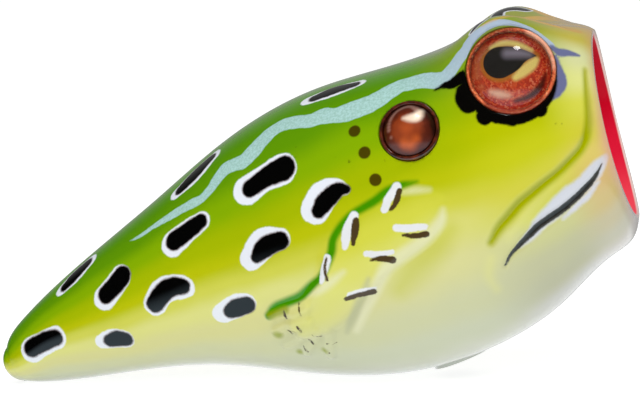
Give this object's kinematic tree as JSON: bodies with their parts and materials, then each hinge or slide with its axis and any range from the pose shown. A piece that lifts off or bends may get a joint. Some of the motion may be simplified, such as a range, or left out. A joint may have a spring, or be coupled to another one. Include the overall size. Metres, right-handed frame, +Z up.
{
  "type": "topwater popper",
  "caption": "Hollow topwater popper bait moulded as a small frog, with a dished red mouth, domed eyes, wire hangers, weights and a rattle.",
  "frame": {"origin": "centre of the line tie's eye, in the middle of the mouth, where the line holds the bait", "axes": "+X to the nose, +Z up, +Y to the bait's left, with the nose raised about 19 degrees as the bait floats"},
  "size_m": [0.0649, 0.026, 0.0361],
  "materials": {
    "painted_shell": "glossy lacquered ABS, green back to pale belly",
    "iris_foil": "sparkling orange foil disc with a rounded bead",
    "clear_lens": "clear moulded dome",
    "ear_rim": "dark brown rim and disc",
    "ear_copper": "coppery tinted dome",
    "hanger_wire": "stainless spring wire",
    "weight_brass": "turned, plain",
    "weight_steel": "bearing ball",
    "rattle_tube": "drawn tube",
    "rattle_cap": "moulded cap",
    "rattle_shot": "polished steel shot"
  },
  "bodies": {
    "bait": {"shell_right": "painted_shell", "shell_left": "painted_shell", "iris_disc_right": "iris_foil", "eye_lens_right": "clear_lens", "ear_disc_right": "ear_rim", "ear_dome_right": "ear_copper", "iris_disc_left": "iris_foil", "eye_lens_left": "clear_lens", "ear_disc_left": "ear_rim", "ear_dome_left": "ear_copper", "line_tie": "hanger_wire", "belly_hanger": "hanger_wire", "tail_hanger": "hanger_wire", "tail_weight": "weight_brass", "belly_weight": "weight_steel", "rattle_tube": "rattle_tube", "rattle_cap_right": "rattle_cap", "rattle_cap_left": "rattle_cap"},
    "rattle_ball_right": {"rattle_ball_right": "rattle_shot"},
    "rattle_ball_middle": {"rattle_ball_middle": "rattle_shot"},
    "rattle_ball_left": {"rattle_ball_left": "rattle_shot"}
  },
  "joints": [
    {"name": "ball_middle_slide", "type": "slide", "parent": "bait", "child": "rattle_ball_middle", "axis": [0, 1, 0], "range_m": [-0.002, 0.002]},
    {"name": "ball_right_slide", "type": "slide", "parent": "bait", "child": "rattle_ball_right", "axis": [0, 1, 0], "range_m": [-0.002, 0.002]},
    {"name": "ball_left_slide", "type": "slide", "parent": "bait", "child": "rattle_ball_left", "axis": [0, 1, 0], "range_m": [-0.002, 0.002]}
  ],
  "couplings": [
    {"joint": "ball_right_slide", "follows": "ball_middle_slide", "ratio": 1},
    {"joint": "ball_left_slide", "follows": "ball_middle_slide", "ratio": 1}
  ]
}
